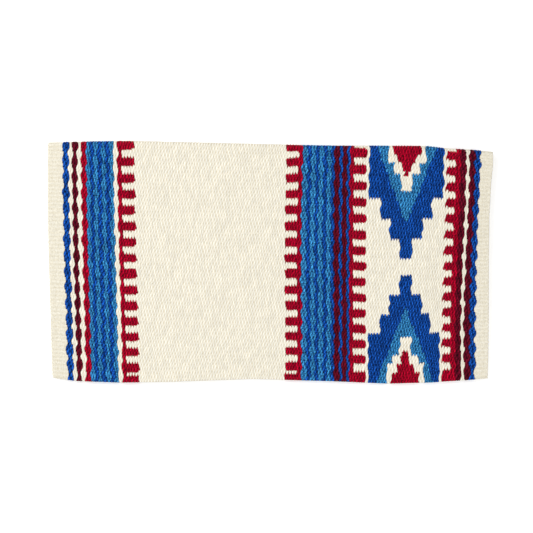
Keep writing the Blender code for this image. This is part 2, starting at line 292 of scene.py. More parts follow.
# Each yarn has two colours. The crown's is the yarn's own colour set a little lighter, as painted highlight
# on the middles of its floats. The other is painted shade, darker than the yarn, for the hollows between
# floats. The headers' colours for the crests and hollows of their ribs are the same.
class BlanketColours(bpy.types.PropertyGroup):
    cream: yarn_colour("Cream", "Crowns of the cream floats", 253, 250, 239)
    cream_painted_shade: yarn_colour("Cream painted_shade", "Hollows between the cream floats", 221, 210, 183)
    royal: yarn_colour("Royal", "Crowns of the royal blue floats", 22, 86, 182)
    royal_painted_shade: yarn_colour("Royal painted_shade", "Hollows between the royal floats", 0, 6, 40)
    light_blue: yarn_colour("Light blue", "Crowns of the light blue floats", 62, 148, 206)
    light_blue_painted_shade: yarn_colour("Light blue painted_shade", "Hollows between light floats", 0, 40, 90)
    red: yarn_colour("Red", "Crowns of the red floats", 186, 4, 44)
    red_painted_shade: yarn_colour("Red painted_shade", "Hollows between the red floats", 74, 0, 10)
    maroon: yarn_colour("Maroon", "Crowns of the maroon floats", 108, 12, 36)
    maroon_painted_shade: yarn_colour("Maroon painted_shade", "Hollows between the maroon floats", 34, 0, 10)
    header: yarn_colour("Header", "Crests of the headers' ribs", 249, 246, 235)
    header_painted_shade: yarn_colour("Header painted_shade", "Hollows of the headers' ribs", 216, 205, 176)


def sizes():
    return bpy.context.scene.blanket_sizes


def colours():
    return bpy.context.scene.blanket_colours


# Where the cloth lies


def warps_down(q):
    """How many warps a place on the chain lies down its flap, from the cord beside it."""
    return np.abs(q - MIDDLE_CORD) - 1.0


def eased(share):
    """A share from nought to one, eased at both: three times its square less twice its cube."""
    return share * share * (3 - 2 * share)


def place(x, q, n):
    """World points of the cloth from loom x, chain warps q and height n over its middle.

    Down a flap the distance from the cord is the warps times their pitch, drawn in by the hem's
    share. The near flap slopes down from the upper cord, and the far one lies level. Between them
    the cloth follows a circle whose chords are one pitch. Towards the right the cloth has slid over
    the fold by a warp, which fades down both flaps.
    """
    x, q, n = np.broadcast_arrays(x, q, n)
    across = np.clip(x / FOLD_LENGTH, 0.0, 1.0)
    near_fold = np.clip(1 - np.abs(q - MIDDLE_CORD) / SLIP_REACH_WARPS, 0.0, 1.0)
    q = q - np.interp(across, SLIP_ACROSS, SLIP_WARPS) * eased(near_fold)
    warps = warps_down(q)
    down = np.clip(warps / FLAP_WARPS, 0.0, 1.0)
    share = np.interp(across, HEM_AT, HEM_SHARES)
    left = LEFT_DRAW_IN * down**LEFT_DRAW_CURVE * np.interp(across, LEFT_DRAW_AT, LEFT_DRAW_SHARES)
    drawn = (FLAP_WARPS * share - FLAP_START_WARPS) / (FLAP_WARPS - FLAP_START_WARPS)
    s = WARP_PITCH * (FLAP_START_WARPS + (warps - FLAP_START_WARPS) * drawn)
    turn = (q - FOLD_CHAIN[0]) * TURN
    near, far = q > FOLD_CHAIN[1], q < FOLD_CHAIN[0]
    y = np.where(
        near,
        UPPER_CORD[0] - s * np.cos(SLOPE) - n * np.sin(SLOPE),
        np.where(far, LOWER_CORD[0] - s, FOLD_CENTRE[0] + (FOLD_RADIUS + n) * np.sin(turn)),
    )
    z = np.where(
        near,
        UPPER_CORD[1] - s * np.sin(SLOPE) + n * np.cos(SLOPE),
        np.where(far, LOWER_CORD[1] - n, FOLD_CENTRE[1] - (FOLD_RADIUS + n) * np.cos(turn)),
    )
    aside = table_value(LIE_ASIDE, across, down)
    back = table_value(LIE_BACK, across, down)
    return np.stack((x + left + aside - FOLD_LENGTH / 2, y - back, z), axis=-1)


def table_value(table, across, down):
    """A table read between its places, in metres: straight along each row, then between rows."""
    levels = np.stack([np.interp(across, LIE_ACROSS, row) for row in table]) * MILLIMETRE
    row = np.clip(np.searchsorted(LIE_DOWN, down, side="right") - 1, 0, len(LIE_DOWN) - 2)
    stations = np.array(LIE_DOWN)
    part = (down - stations[row]) / (stations[row + 1] - stations[row])
    low = np.take_along_axis(levels, row[None], axis=0)[0]
    high = np.take_along_axis(levels, row[None] + 1, axis=0)[0]
    return low + (high - low) * part


# The yarns' slow wandering: its waves, their shortest and longest length, what its own seed adds,
# and the product of the warps to both hems from which it is whole
DRIFT_WAVES = 9
DRIFT_SHORT = 0.014
DRIFT_LONG = 0.060
DRIFT_SEED = 9
DRIFT_HEM_FADE = 100


def drifted(x, q):
    """Loom x and warps after the yarns' slow wandering: a sum of sine waves of random direction.

    The wandering along x fades out at the cloth's ends, and the one along the warps at its hems.
    """
    want = sizes()
    chance = np.random.default_rng(want.seed + DRIFT_SEED)
    x, q = np.broadcast_arrays(x, q)
    moves = []
    for _ in range(2):
        move = np.zeros(x.shape)
        for _ in range(DRIFT_WAVES):
            wave = chance.uniform(DRIFT_SHORT, DRIFT_LONG)
            turn, start = chance.uniform(0, 2 * np.pi, 2)
            phase = (x * np.cos(turn) + q * WARP_PITCH * np.sin(turn)) / wave * 2 * np.pi + start
            move += np.sin(phase)
        moves.append(move * want.drift / np.sqrt(DRIFT_WAVES / 2))
    inside = np.clip(np.minimum(x, FOLD_LENGTH - x) / DRIFT_SHORT, 0, 1)
    off_hems = np.clip((CHAIN[1] - q) * (q - CHAIN[0]) / DRIFT_HEM_FADE, 0, 1)
    return x + moves[0] * inside, q + moves[1] / WARP_PITCH * off_hems


# Picks counted from the left end of the stripes, and the loom x of each stripe's edge
PICKS = np.concatenate(([0], np.cumsum([line[3] for line in LINES])))
EDGES = HEADER_LEFT + np.concatenate(([0.0], np.cumsum([line[2] for line in LINES])))
# The same, carried on past both ends for the columns that lean out of the stripes
SPARE_PICKS = 80
SPARE_WIDTH = SPARE_PICKS * PICK_WIDTH
FAR_PICKS = np.concatenate(([-SPARE_PICKS], PICKS, [PICKS[-1] + SPARE_PICKS]))
FAR_EDGES = np.concatenate(([EDGES[0] - SPARE_WIDTH], EDGES, [EDGES[-1] + SPARE_WIDTH]))


def line_number(name):
    """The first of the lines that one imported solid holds."""
    return [line[0] for line in LINES].index(name)


def ends_of(name):
    """The picks at which a line starts and ends."""
    number = line_number(name)
    return PICKS[number], PICKS[number + 1]


def chain_rows():
    """Rows of the grid: three to a warp, and closer ones in the rounded edge of each hem."""
    start, end = CHAIN
    rows = (np.arange(start, end)[:, None] + np.array(ROW_SHARES)).ravel()
    edge = HEM_ROWS[0] + ROW_GAP
    inner = rows[(rows > start + edge) & (rows < end - edge)]
    return np.concatenate((start + np.array(HEM_ROWS)[::-1], inner, end - np.array(HEM_ROWS)))


def hem_fullness(q):
    """The share of the cloth's thickness that is left near a hem, by warps from it."""
    return np.interp(FLAP_WARPS - warps_down(q), HEM_ROWS[::-1], HEM_FULLNESS[::-1])


def motif_area(end, yarn):
    """The number of a motif's yarn, past all the lines: the fold's end first, then the hem's."""
    return len(LINES) + len(MOTIF_YARNS) * MOTIF_ENDS.index(end) + MOTIF_YARNS.index(yarn)


def yarn_of(pick, q, half_pick, half_q):
    """Which line's yarn, or which yarn of a motif, each cell shows.

    Upright edges are read at the pick of a float's middle, and level ones at the cell's own warp.
    Only the slanting edges of a motif are read at the middle of each half of a float. Cells hold
    the number of their line, or of their motif's yarn.
    """
    area = np.searchsorted(PICKS, pick, side="right") - 1
    area[(pick < PICKS[0]) | (pick > PICKS[-1])] = NO_AREA
    set_teeth(area, pick, q)
    set_motifs(area, pick, q, half_pick, half_q)
    return area


def set_teeth(area, pick, q):
    """Gives each comb its teeth. They thin at the tip, and a flap's last runs on to the hem."""
    from_hem = FLAP_WARPS - warps_down(q)
    for name, (reach, first, last) in TEETH.items():
        base = ends_of(name)[reach > 0]
        low, high = sorted((base, base + reach))
        thin = TIP_WARPS * (np.abs(base + reach - pick) < COLUMN_PICKS)
        tooth = (q - first - thin) % RHYTHM_WARPS < TOOTH_WARPS - 2 * thin
        tooth |= from_hem < last
        area[(pick > low) & (pick < high) & tooth] = line_number(name)


def set_motifs(area, pick, q, half_pick, half_q):
    """Gives the motifs at the fold and at the hem their cells, each yarn over the one before.

    Royal, cream and red end in steps, and light blue in two slanting edges.
    """
    middle = np.interp(sum(ends_of("panel")) / 2, PICKS, EDGES) + MOTIF_SHIFT
    aside, half_aside = (
        np.abs(np.interp(p, PICKS, EDGES) - middle) / MOTIF_ROOM for p in (pick, half_pick)
    )
    flap, half_flap = warps_down(q), warps_down(half_q)
    for end, depth, half_depth, shorter in (
        ("spine", flap, half_flap, 0.0),
        ("hem", FLAP_WARPS - flap, FLAP_WARPS - half_flap, HEM_MOTIF_SHORTER),
    ):
        royal = stepped(aside, depth + shorter, ROYAL_STEPS)
        light = half_aside < LIGHT_HALF * (1 - (half_depth + shorter) / LIGHT_WARPS)
        area[royal | light] = motif_area(end, "royal")
        area[light] = motif_area(end, "light_blue")
        area[stepped(aside, depth, CREAM_STEPS)] = motif_area(end, "cream")
        area[stepped(aside, depth, RED_STEPS)] = motif_area(end, "red")


def stepped(aside, depth, steps):
    """Inside a stepped outline: beside the middle by less than the half width of its depth."""
    depths = np.array([d for _, d in steps])
    halves = np.array([half for half, _ in steps] + [0.0])
    return aside < halves[np.searchsorted(depths, depth, side="right")]


def rank_of(area):
    """The order in which areas bulge over each other: the ground, then teeth, then the motifs."""
    combs = [line_number(name) for name in TEETH]
    return np.where(area >= len(LINES), 2 + area, np.isin(area, combs).astype(int))


def bowed(area, phase):
    """How far the corners of cells move along the warps where one area ends on another.

    The middles of a column move into the lower area and the gaps between columns move back, so
    that every column ends in a small point.
    """
    rank = rank_of(area)
    step = np.sign(rank[:-1] - rank[1:])
    move = np.zeros((area.shape[0] + 1, area.shape[1] + 1))
    move[1:-1, :-1] += step
    move[1:-1, 1:] += step
    return np.clip(move, -1, 1) * np.where(phase > 0, 1.0, -GAP_BOW)


class Weave:
    """The twill's grid along the whole chain, with both faces worked out as arrays.

    A column is widest at the middle of its floats, where its neighbours' floats end. Points are
    numbered along q by rows and across by k, the column, and phase, nought in the gap at its left.
    """

    def __init__(self):
        want = sizes()
        rows = chain_rows()
        first = int(PICKS[0] + CHAIN[0] - 2 * FLOAT_WARPS) // COLUMN_PICKS - 1
        last = int(PICKS[-1] + CHAIN[1] + 2 * FLOAT_WARPS) // COLUMN_PICKS + 1
        point = np.arange(first * COLUMN_POINTS, last * COLUMN_POINTS + 1)
        k, phase = point // COLUMN_POINTS, point % COLUMN_POINTS
        q = rows[:, None]
        seat = k[None, :] - first
        chance = np.random.default_rng(want.seed).random((3, CHANCE_ROWS, last - first + 1, 2))
        lows, (tints, asides), gaps = chance[:2, ..., 0], chance[:2, ..., 1], chance[2, ..., 0]
        left, right = self.gap_shift(gaps, q, k, seat), self.gap_shift(gaps, q, k + 1, seat + 1)
        part = phase / COLUMN_POINTS
        w = point / COLUMN_POINTS * COLUMN_PICKS - left * (1 - part) - right * part
        offset = FLOAT_START + k % 2
        started = (q - offset) / FLOAT_WARPS
        on_float = np.floor(started + ROUNDING).astype(int)
        rise = np.sin(np.pi * np.clip(started - on_float, 0.0, 1.0))
        # The crown rises from nought in the gaps and at a float's ends to one at its middle. It shapes the
        # relief, and the yarn colours use it to paint shade into the hollows and highlight onto the crowns.
        crown = np.sqrt(rise.clip(0.0)) * (phase > 0)
        aside = (asides[on_float % CHANCE_ROWS, seat] - 0.5) * 2 * want.jitter * crown
        x = np.interp(w + aside - (q - LEAN_FROM) + FIRST_PICK, FAR_PICKS, FAR_EDGES)
        self.lay_cells(rows, k[:-1], offset[:-1])
        cell_float = np.floor((self.cell_q - offset[:-1]) / FLOAT_WARPS).astype(int)
        self.tint = tints[cell_float % CHANCE_ROWS, seat[:, :-1]]
        edge = hem_fullness(q)
        scallop = want.scallop * ((phase > 0) - 0.5) / WARP_PITCH * (1 - edge)
        down = np.where(q > MIDDLE_CORD, 1, -1)
        drift_x, drift_q = drifted(x, q)
        drift_q = drift_q + scallop * down + want.bow * bowed(self.area, phase)
        self.sides = []
        for low, sign in zip(lows, (1, -1)):
            sunk = low[on_float % CHANCE_ROWS, seat] * want.unevenness * crown
            height = CLOTH_THICKNESS / 2 - want.relief * (1 - crown) - sunk
            self.sides.append(place(drift_x, drift_q, sign * height * edge))
        self.crown = crown
        self.x, self.rows = x, q + 0 * x
        self.loom = np.stack((w / COLUMN_PICKS, q + 0 * w, 0 * w), axis=-1)

    def gap_shift(self, gaps, q, k, seat):
        """How far the gap at a column's left stands aside, in picks.

        It swings with the bulge of the floats on either side, and wanders at random from warp to
        warp, eased in between.
        """
        want = sizes()
        swing = np.cos(np.pi * (q - FLOAT_START - 1)) * np.where(k % 2 == 0, 1.0, -1.0)
        warp = np.floor(q - CHAIN[0]).astype(int)
        late = eased(q - CHAIN[0] - warp)
        seat = seat % gaps.shape[1]
        low, high = (gaps[w % CHANCE_ROWS, seat] for w in (warp, warp + 1))
        return swing * want.bulge + (2 * (low + (high - low) * late) - 1) * want.crowding

    def lay_cells(self, rows, k, offset):
        """Where the cells lie on the chain, the pick of each one's float, and what it shows."""
        self.cell_q = (rows[:-1] + rows[1:])[:, None] / 2
        float_q = offset + FLOAT_WARPS * (np.floor((self.cell_q - offset) / FLOAT_WARPS) + 0.5)
        half_q = np.floor(self.cell_q - FLOAT_START) + FLOAT_START + 0.5 + 0 * float_q
        self.pick, half_pick = (
            COLUMN_PICKS * (k + 0.5) - (middle - LEAN_FROM) + FIRST_PICK
            for middle in (float_q, half_q)
        )
        self.area = yarn_of(self.pick, self.level_q(offset), half_pick, half_q)

    def level_q(self, offset):
        """The warp at which each cell is read for level edges.

        Where a column's float ends in a warp, two of its cells there are read a row earlier, so
        that the edges run down to the ends of floats in every other column.
        """
        warp, share = np.floor(self.cell_q), self.cell_q % 1.0
        ends = np.isclose((warp + FLOAT_START - offset) % FLOAT_WARPS, 0.0)
        early = (share > ROW_SHARES[0]) & (share < ROW_SHARES[1])
        late = (share > ROW_SHARES[1]) & (share < ROW_SHARES[2])
        middle = (ROW_SHARES[0] + ROW_SHARES[1]) / 2
        level = np.where(late & ends, warp + middle, self.cell_q)
        return np.where(early & ends, warp - EARLIER_ROW, level)

    def where(self, name=None, yarn=None):
        """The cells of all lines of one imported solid, of one yarn, or of both."""
        wanted = [name in (None, line[0]) and yarn in (None, line[1]) for line in LINES]
        return np.isin(self.area, np.flatnonzero(wanted))

    def motif(self, end, yarn):
        """The cells of one yarn of the motif at the fold's end, the spine, or at the hem."""
        return self.area == motif_area(end, yarn)


GRIDS = {}


def weave():
    """The twill's grid, worked out once."""
    if "twill" not in GRIDS:
        GRIDS["twill"] = Weave()
    return GRIDS["twill"]


def along(grid, stretch):
    """The rows of cells that lie on the far flap, the fold or the near flap."""
    start, end = STRETCHES[stretch]
    return (grid.cell_q > start) & (grid.cell_q < end)


# Meshes


def corner_lists(mask):
    """Corners of the cells of a mask and of the walls along its border, as rows and columns.

    A cell's corners run down, across, up and back. A wall runs along the border on the outer face
    and back on the inner one, so that every face looks outwards.
    """
    padded = np.pad(mask, 1)
    r, j = np.nonzero(mask)
    cells = np.stack(((r, j), (r + 1, j), (r + 1, j + 1), (r, j + 1)), axis=1)
    walls = []
    for dr, dj, a, b in (
        (0, 1, (0, 1), (1, 1)),
        (0, -1, (1, 0), (0, 0)),
        (-1, 0, (0, 0), (0, 1)),
        (1, 0, (1, 1), (1, 0)),
    ):
        out = mask & ~padded[1 + dr : 1 + dr + mask.shape[0], 1 + dj : 1 + dj + mask.shape[1]]
        r, j = np.nonzero(out)
        walls.append(np.stack(((r + a[0], j + a[1]), (r + b[0], j + b[1])), axis=1))
    return cells, np.concatenate(walls, axis=2)


# The bake's map, in shares of it: its margin and the width it fills, the height of a face's strip,
# where the outer face's starts, the strip of the walls, and how much of its room a wall takes
MAP_MARGIN = 0.01
MAP_WIDTH = 0.98
STRIP_HEIGHT = 0.455
OUTER_STRIP = 0.535
WALL_STRIP = (0.48, 0.52)
WALL_SHARE = 0.8


def bake_map(grid, cells, wall_count):
    """The bake's own map: the outer face above, the inner one below, the walls in between.

    Both faces are laid out by loom x and warps, and each wall has a small rectangle.
    """
    x, q = (values[cells[0], cells[1]] for values in (grid.x, grid.rows))
    u = MAP_MARGIN + MAP_WIDTH * (x - x.min()) / (x.max() - x.min())
    v = STRIP_HEIGHT * (1 - (q - q.min()) / (q.max() - q.min()))
    outer, inner = (np.stack((u, base + v), axis=-1) for base in (OUTER_STRIP, MAP_MARGIN))
    step = MAP_WIDTH / wall_count
    left = MAP_MARGIN + step * np.arange(wall_count)
    right = left + step * WALL_SHARE
    low, high = (np.full(wall_count, level) for level in WALL_STRIP)
    wall = np.stack(((left, high), (right, high), (right, low), (left, low)))
    faces = (outer.transpose(1, 0, 2), inner[::-1].transpose(1, 0, 2), wall.transpose(2, 0, 1))
    return np.concatenate(faces).reshape(-1, 2)


NORMALS = {}
LEAST_LENGTH = 1e-12
# What the inner face's place on the loom adds, so that its plies run differently
INNER_LOOM = (0.37, 0.0, 1.0)


def grid_normals(points):
    """Unit normals of a grid of points: its slope down the rows crossed with its slope across."""
    down, across = np.gradient(points, axis=(0, 1))
    normals = np.cross(down, across)
    return normals / np.maximum(np.linalg.norm(normals, axis=-1, keepdims=True), LEAST_LENGTH)


def add_attribute(mesh, name, kind, domain, values):
    """Gives a mesh one value or vector for each of its points or faces."""
    key = "vector" if kind == "FLOAT_VECTOR" else "value"
    values = values.astype(bool if kind == "BOOLEAN" else np.float32)
    mesh.attributes.new(name, kind, domain).data.foreach_set(key, values.ravel())


def woven_piece(name, grid, mask, material):
    """A closed piece of cloth over the masked cells: outer face, inner face and the walls between.

    Both faces take their normals from the whole grid, so that no line shows where two pieces meet.
    """
    cells, walls = corner_lists(mask)
    number = np.full(grid.crown.shape, -1)
    used = np.zeros(grid.crown.shape, bool)
    used[cells[0], cells[1]] = True
    count = int(used.sum())
    number[used] = np.arange(count)
    face = number[cells[0], cells[1]].T
    edge = number[walls[0], walls[1]].T
    smooth = 2 * len(face)
    wall = np.stack((edge[:, 0], edge[:, 1], edge[:, 1] + count, edge[:, 0] + count), axis=1)
    faces = np.concatenate((face, face[:, ::-1] + count, wall)).astype(np.int32)
    points = np.concatenate([side[used] for side in grid.sides])
    mesh = bpy.data.meshes.new(name)
    mesh.vertices.add(len(points))
    mesh.vertices.foreach_set("co", points.astype(np.float32).ravel())
    mesh.loops.add(faces.size)
    mesh.loops.foreach_set("vertex_index", faces.ravel())
    mesh.polygons.add(len(faces))
    mesh.polygons.foreach_set("loop_start", np.arange(0, faces.size, 4, dtype=np.int32))
    mesh.update(calc_edges=True)
    tint = grid.tint[mask]
    tint = np.concatenate((tint, 1 - tint, np.full(len(edge), 0.5)))
    loom = np.concatenate((grid.loom[used], grid.loom[used] + INNER_LOOM))
    add_attribute(mesh, "sharp_face", "BOOLEAN", "FACE", np.arange(len(faces)) >= smooth)
    # The crown also paints each yarn's shade into the hollows and its highlight onto the crowns.
    add_attribute(mesh, "crown", "FLOAT", "POINT", np.tile(grid.crown[used], 2))
    add_attribute(mesh, "loom", "FLOAT_VECTOR", "POINT", loom)
    add_attribute(mesh, "tint", "FLOAT", "FACE", tint)
    uv = bake_map(grid, cells, len(edge))
    mesh.uv_layers.new(name="OFBake").data.foreach_set("uv", uv.astype(np.float32).ravel())
    mesh.materials.append(material)
    if grid not in NORMALS:
        NORMALS[grid] = (grid_normals(grid.sides[0]), -grid_normals(grid.sides[1]))
    point_normals = np.concatenate([side[used] for side in NORMALS[grid]])
    normals = np.concatenate((point_normals[faces[:smooth]], np.zeros((len(edge), 4, 3))))
    mesh.normals_split_custom_set(normals.reshape(-1, 3).tolist())
    if mesh.validate(verbose=False):
        raise RuntimeError(f"{name} has faces that Blender had to mend")
    piece = bpy.data.objects.new(name, mesh)
    bpy.context.collection.objects.link(piece)
    return piece


# Yarns

# Turns of the plies in a warp, and how high they stand beside the fuzz
PLY_TURNS = 2.5
PLY_HEIGHT = 0.5

# How much lighter or darker single floats of a yarn are, as a share, and the flecks on them
VARIATION = {
    "cream": (0.12, 0.05), "royal": (0.5, 0.60), "light_blue": (0.4, 0.65),
    "red": (0.4, 0.50), "maroon": (0.5, 0.5), "header": (0.14, 0.07),
}


def feed(tree, target, sources):
    """Gives inputs of a node what they take: another node's output, or a plain value."""
    for key, source in sources.items():
        if isinstance(source, bpy.types.NodeSocket):
            tree.links.new(source, target.inputs[key])
        else:
            target.inputs[key].default_value = source


def node(tree, kind, at, sources=None, **settings):
    made = tree.nodes.new(kind)
    made.location = at
    for key, value in settings.items():
        setattr(made, key, value)
    feed(tree, made, sources or {})
    return made


def maths(tree, at, operation, *sources):
    """The output of a node that works out one operation on outputs or plain values."""
    fed = dict(enumerate(sources))
    return node(tree, "ShaderNodeMath", at, fed, operation=operation).outputs[0]


def wool_group():
    """Colour and height of woven wool, read from the cloth's own attributes.

    The colour goes from the painted shade of the hollows to the crown's colour, lightened as a painted
    highlight, as the crown rises, a little lighter or darker for each float and for small flecks on
    it. The height is the twist of the plies along the yarn, plus fine fuzz.
    """
    if "Woven wool" in bpy.data.node_groups:
        return bpy.data.node_groups["Woven wool"]
    group = bpy.data.node_groups.new("Woven wool", "ShaderNodeTree")
    for name, default in (
        ("Crown", (1.0, 1.0, 1.0, 1.0)),
        ("Painted shade", (0.5, 0.5, 0.5, 1.0)),
        ("Float variation", 0.10), ("Fleck variation", 0.05), ("Ply twist", 1.0),
        ("Fleck scale", 430.0), ("Fuzz scale", 1300.0),
    ):
        kind = "NodeSocketColor" if isinstance(default, tuple) else "NodeSocketFloat"
        socket = group.interface.new_socket(name, in_out="INPUT", socket_type=kind)
        socket.default_value = default
    for name, kind in (("Color", "NodeSocketColor"), ("Height", "NodeSocketFloat")):
        group.interface.new_socket(name, in_out="OUTPUT", socket_type=kind)
    given = node(group, "NodeGroupInput", (-900, 0)).outputs
    crown, tint, loom = (
        node(group, "ShaderNodeAttribute", (-900, y), attribute_name=name).outputs
        for name, y in (("crown", 320), ("tint", -340), ("loom", -560))
    )
    place_on = node(group, "ShaderNodeTexCoord", (-900, -820)).outputs["Object"]
    # Painted light: the crown mixes painted shade into the hollows between floats and the lighter crown
    # colour, a painted highlight, onto their middles.
    ends = {"Factor": crown["Fac"], "A": given["Painted shade"], "B": given["Crown"]}
    colour = node(group, "ShaderNodeMix", (-500, 160), ends, data_type="RGBA")
    centred = maths(group, (-680, -300), "SUBTRACT", tint["Fac"], 0.5)
    single = maths(group, (-500, -240), "MULTIPLY_ADD", centred, given["Float variation"], 1.0)
    noises = []
    for name, detail, y in (("Fuzz", 3.0, -760), ("Fleck", 2.0, -1400)):
        grain = {"Vector": place_on, "Scale": given[f"{name} scale"], "Detail": detail}
        noises.append(node(group, "ShaderNodeTexNoise", (-500, y), grain).outputs["Fac"])
    fuzz, flecks = noises
    span = {"Value": flecks, "From Min": 0.36, "From Max": 0.64}
    vary = given["Fleck variation"]
    for name, sign, y in (("To Min", -1.0, -880), ("To Max", 1.0, -1200)):
        span[name] = maths(group, (-500, y), "MULTIPLY_ADD", vary, sign, 1.0)
    speck = node(group, "ShaderNodeMapRange", (-280, -420), span).outputs["Result"]
    both = maths(group, (-100, -240), "MULTIPLY", single, speck)
    shaded = {0: colour.outputs["Result"], "Scale": both}
    shade = node(group, "ShaderNodeVectorMath", (300, 120), shaded, operation="SCALE")
    split = node(group, "ShaderNodeSeparateXYZ", (-680, -560), {0: loom["Vector"]}).outputs
    turns = maths(group, (-500, -540), "MULTIPLY", split["Y"], PLY_TURNS)
    twist = maths(group, (-300, -620), "ADD", turns, split["X"])
    angle = maths(group, (-120, -620), "MULTIPLY", twist, 2 * np.pi)
    ply = maths(group, (60, -620), "SINE", angle)
    plies = maths(group, (240, -560), "MULTIPLY", ply, given["Ply twist"])
    height = maths(group, (440, -420), "MULTIPLY_ADD", plies, PLY_HEIGHT, fuzz)
    node(group, "NodeGroupOutput", (700, 0), {"Color": shade.outputs[0], "Height": height})
    return group


def wool(name):
    """A yarn's material: its crown colour with painted highlight, and its painted shade."""
    key = f"woven_{name}_wool"
    if key in bpy.data.materials:
        return bpy.data.materials[key]
    material = bpy.data.materials.new(key)
    material.use_nodes = True
    tree = material.node_tree
    looks = {
        "Crown": (*getattr(colours(), name), 1.0),
        "Painted shade": (*getattr(colours(), f"{name}_painted_shade"), 1.0),
        "Float variation": VARIATION[name][0],
        "Fleck variation": VARIATION[name][1],
    }
    settings = {"node_tree": wool_group(), "label": "Woven wool"}
    yarn = node(tree, "ShaderNodeGroup", (-420, 200), looks, **settings).outputs
    fuzz = {"Strength": 0.6, "Distance": 0.00012, "Height": yarn["Height"]}
    surface = {
        "Roughness": 0.95,
        "Sheen Weight": 0.05,
        "Sheen Roughness": 0.5,
        "Specular IOR Level": 0.05,
        "Base Color": yarn["Color"],
        "Normal": node(tree, "ShaderNodeBump", (-200, -120), fuzz).outputs["Normal"],
    }
    feed(tree, tree.nodes["Principled BSDF"], surface)
    return material


# Pieces

BODIES = {"far": "far_flap", "near": "near_flap"}


def dress(name, stretch, mask, yarn, node_name):
    """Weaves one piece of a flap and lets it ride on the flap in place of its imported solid."""
    grid = weave()
    piece = woven_piece(f"{name}_weave", grid, mask & along(grid, stretch), wool(yarn))
    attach(piece, BODIES[stretch])
    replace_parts(piece, node_name)


def weave_lines(names):
    """One piece for each yarn of each named stripe, on both flaps."""
    for stretch in BODIES:
        for name in names:
            solid = f"{stretch}_{name}"
            yarns = sorted({line[1] for line in LINES if line[0] == name})
            for yarn in yarns:
                label = solid if len(yarns) == 1 else f"{solid}_{yarn}"
                dress(label, stretch, weave().where(name, yarn), yarn, solid)


class WeaveLines(bpy.types.Operator):
    """Weaves the narrow lines of one yarn that stand between the bands"""

    bl_idname = "blanket.weave_lines"
    bl_label = "Weave the lines"

    def execute(self, context):
        weave_lines([name for name, _ in STRIPES if "_line_" in name])
        return {"FINISHED"}


class WeaveBands(bpy.types.Operator):
    """Weaves the bands of several lines: both blue ones, the striped one and the right edge's"""

    bl_idname = "blanket.weave_bands"
    bl_label = "Weave the bands"

    def execute(self, context):
        weave_lines([name for name, lines in STRIPES if len(lines) > 1])
        return {"FINISHED"}


class WeaveCombs(bpy.types.Operator):
    """Weaves the four red combs with their teeth"""

    bl_idname = "blanket.weave_combs"
    bl_label = "Weave the combs"

    def execute(self, context):
        weave_lines(TEETH)
        return {"FINISHED"}


class WeaveField(bpy.types.Operator):
    """Weaves the wide cream field of each flap in two halves that meet between two picks"""

    bl_idname = "blanket.weave_field"
    bl_label = "Weave the field"

    def execute(self, context):
        grid = weave()
        mask = grid.where("field")
        left = grid.pick < sum(ends_of("field")) // 2
        for stretch in BODIES:
            for side, part in (("left", mask & left), ("right", mask & ~left)):
                dress(f"{stretch}_field_{side}", stretch, part, "cream", f"{stretch}_field")
        return {"FINISHED"}


class WeavePanel(bpy.types.Operator):
    """Weaves the cream panel and the stepped motifs at its fold and its hem"""

    bl_idname = "blanket.weave_panel"
    bl_label = "Weave the panel and motifs"

    def execute(self, context):
        weave_lines(("panel",))
        for stretch in BODIES:
            for end in MOTIF_ENDS:
                for yarn in MOTIF_YARNS:
                    name = f"{stretch}_{end}_motif_{yarn}"
                    dress(name, stretch, weave().motif(end, yarn), yarn, name)
        return {"FINISHED"}


class WeaveFold(bpy.types.Operator):
    """Weaves the cloth round the fold's three cords, one piece for each yarn"""

    bl_idname = "blanket.weave_fold"
    bl_label = "Weave the fold"

    def execute(self, context):
        grid = weave()
        for yarn in YARNS:
            mask = grid.where(yarn=yarn)
            if yarn in MOTIF_YARNS:
                for end in MOTIF_ENDS:
                    mask |= grid.motif(end, yarn)
            piece = woven_piece(f"fold_{yarn}_weave", grid, mask & along(grid, "fold"), wool(yarn))
            bend(piece)
        for side in ("left", "right"):
            bend(header_piece(f"fold_header_{side}_weave", side, "fold"))
        return {"FINISHED"}


# The height of the cord that the fold opens about, and how far either side of it the cloth bends
BEND_HEIGHT = 0.01046
BEND_REACH = 0.000001


def bend(piece):
    """Lets a piece of the fold open about its middle cord.

    The cloth below the cord's height stays with the far flap and the cloth above it turns with the
    near one, so that the open blanket shows a low crease and no hump.
    """
    low, high = BEND_HEIGHT - BEND_REACH, BEND_HEIGHT + BEND_REACH
    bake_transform(piece, "far_flap", "near_flap", start=(0, 0, low), end=(0, 0, high))
    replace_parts(piece, "fold_rib_lower", "fold_rib_middle", "fold_rib_upper")


# A header: how far it goes on under the stripes, its rounded rim with the places and fullness of
# its points, how far its ribs stand out at the end, and the width of its fine picks
HEADER_TUCK = 0.003
HEADER_RIM = 0.0024
HEADER_RIM_AT = (0.0, 0.25, 0.6)
HEADER_RIM_FULLNESS = (0.35, 0.72, 0.93, 1.0)
HEADER_SCALLOP = 0.0007
HEADER_PICK_WIDTH = 0.0010
HEADER_WARP_ROWS = 4
HEADER_SEED = 1
# How much of a header's relief its ribs, its single picks and its single crossings make
RIB_SHARE = 0.25
PICK_SHARE = 0.20
CROSSING_SHARE = 0.55


